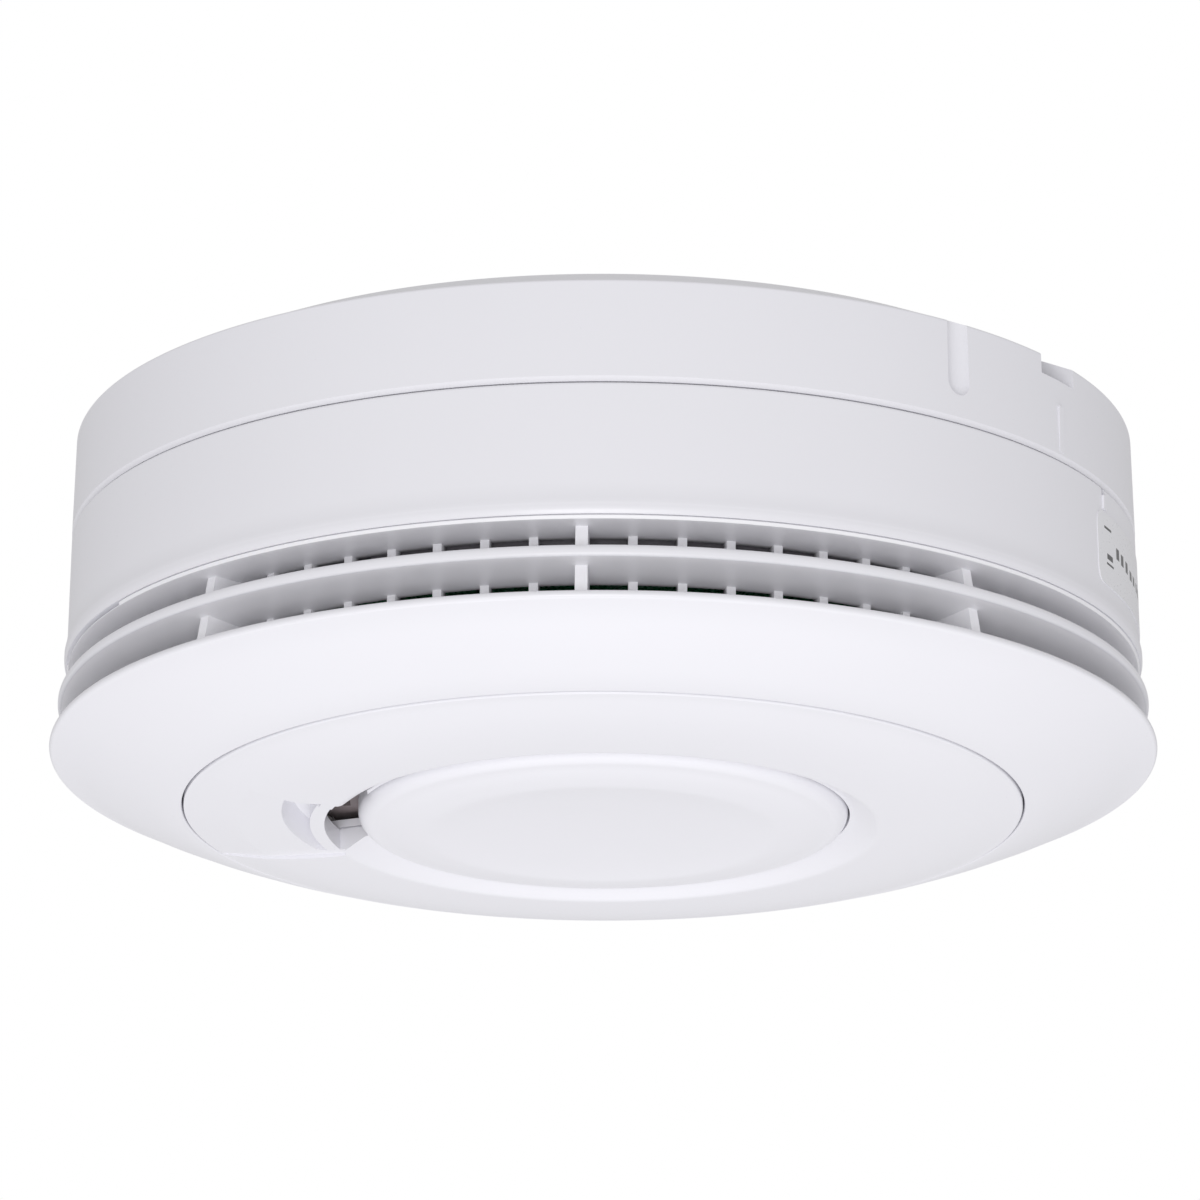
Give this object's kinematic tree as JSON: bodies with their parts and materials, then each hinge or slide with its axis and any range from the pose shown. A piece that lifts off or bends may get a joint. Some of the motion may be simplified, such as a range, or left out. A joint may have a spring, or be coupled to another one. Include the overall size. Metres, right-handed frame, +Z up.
{
  "type": "smoke detector",
  "caption": "Round ceiling smoke detector with a twist-lock mounting base, a vented rim, a shallow domed face, a central test button and a sound outlet beside it.",
  "frame": {"origin": "centre of the ceiling face of the mounting base, midway between the two screw slots", "axes": "+Z up into the ceiling along the detector's axis, so the room side faces -Z; the sound outlet is on the -X side and the screw slots lie on the X axis"},
  "size_m": [0.115, 0.115, 0.0444],
  "materials": {
    "white_plastic": "satin moulded plastic",
    "button_plastic": "satin moulded plastic",
    "spring_steel": "bright",
    "zinc_steel": "zinc plated",
    "chip_black": "matte",
    "natural_plastic": "matte",
    "label_film": "satin film",
    "board": "solder mask",
    "chip_ceramic": "matte",
    "capacitor_can": "satin",
    "ferrite": "matte",
    "gilt_pins": "bright",
    "cell_sleeve": "shrink sleeve",
    "chamber_black": "matte",
    "clear_epoxy": "clear",
    "dark_epoxy": "gloss",
    "horn_plastic": "matte",
    "disc_brass": "satin",
    "silvered_ceramic": "satin",
    "red_light": "gloss",
    "clear_acrylic": "clear"
  },
  "bodies": {
    "base": {"mounting_base": "white_plastic"},
    "head": {"rear_housing": "white_plastic", "front_cover": "white_plastic", "front_panel": "white_plastic", "button_spring": "spring_steel", "test_switch": "chip_black", "cover_screws": "zinc_steel", "board_screws": "zinc_steel", "date_label": "label_film", "rating_label": "label_film", "circuit_board": "board", "microcontroller": "chip_black", "horn_driver": "chip_black", "chip_parts": "chip_ceramic", "capacitors": "capacitor_can", "boost_inductor": "ferrite", "pin_header": "gilt_pins", "battery_cells": "cell_sleeve", "battery_cradle": "natural_plastic", "battery_tabs": "spring_steel", "power_switch": "zinc_steel", "chamber_base": "chamber_black", "chamber_lid": "chamber_black", "insect_mesh": "spring_steel", "optics_holder": "chamber_black", "infrared_emitter": "clear_epoxy", "light_sensor": "dark_epoxy", "horn_housing": "horn_plastic", "piezo_disc": "disc_brass", "piezo_ceramic": "silvered_ceramic", "horn_contacts": "spring_steel", "status_light": "red_light", "light_pipe": "clear_acrylic"},
    "button": {"test_button": "button_plastic"},
    "switch_tip": {"test_switch_plunger": "natural_plastic"},
    "slider": {"power_slider": "natural_plastic", "power_switch_knob": "chip_black"}
  },
  "joints": [
    {"name": "twist_lock", "type": "hinge", "parent": "base", "child": "head", "pos_m": [0, 0, 0], "axis": [0, 0, 1], "range_deg": [-10, 0]},
    {"name": "test_press", "type": "slide", "parent": "head", "child": "button", "axis": [0, 0, 1], "range_m": [0, 0.001], "stiffness_N_per_m": 500, "springref_m": -0.001, "deforming": ["button_spring"]},
    {"name": "switch_press", "type": "slide", "parent": "head", "child": "switch_tip", "axis": [0, 0, 1], "range_m": [0, 0.00025]},
    {"name": "power_slide", "type": "slide", "parent": "head", "child": "slider", "axis": [1, 0, 0], "range_m": [-0.0042, 0]}
  ],
  "couplings": [
    {"joint": "switch_press", "follows": "test_press", "ratio": 0.25},
    {"joint": "power_slide", "follows": "twist_lock", "m_per_rad": 0.024}
  ]
}
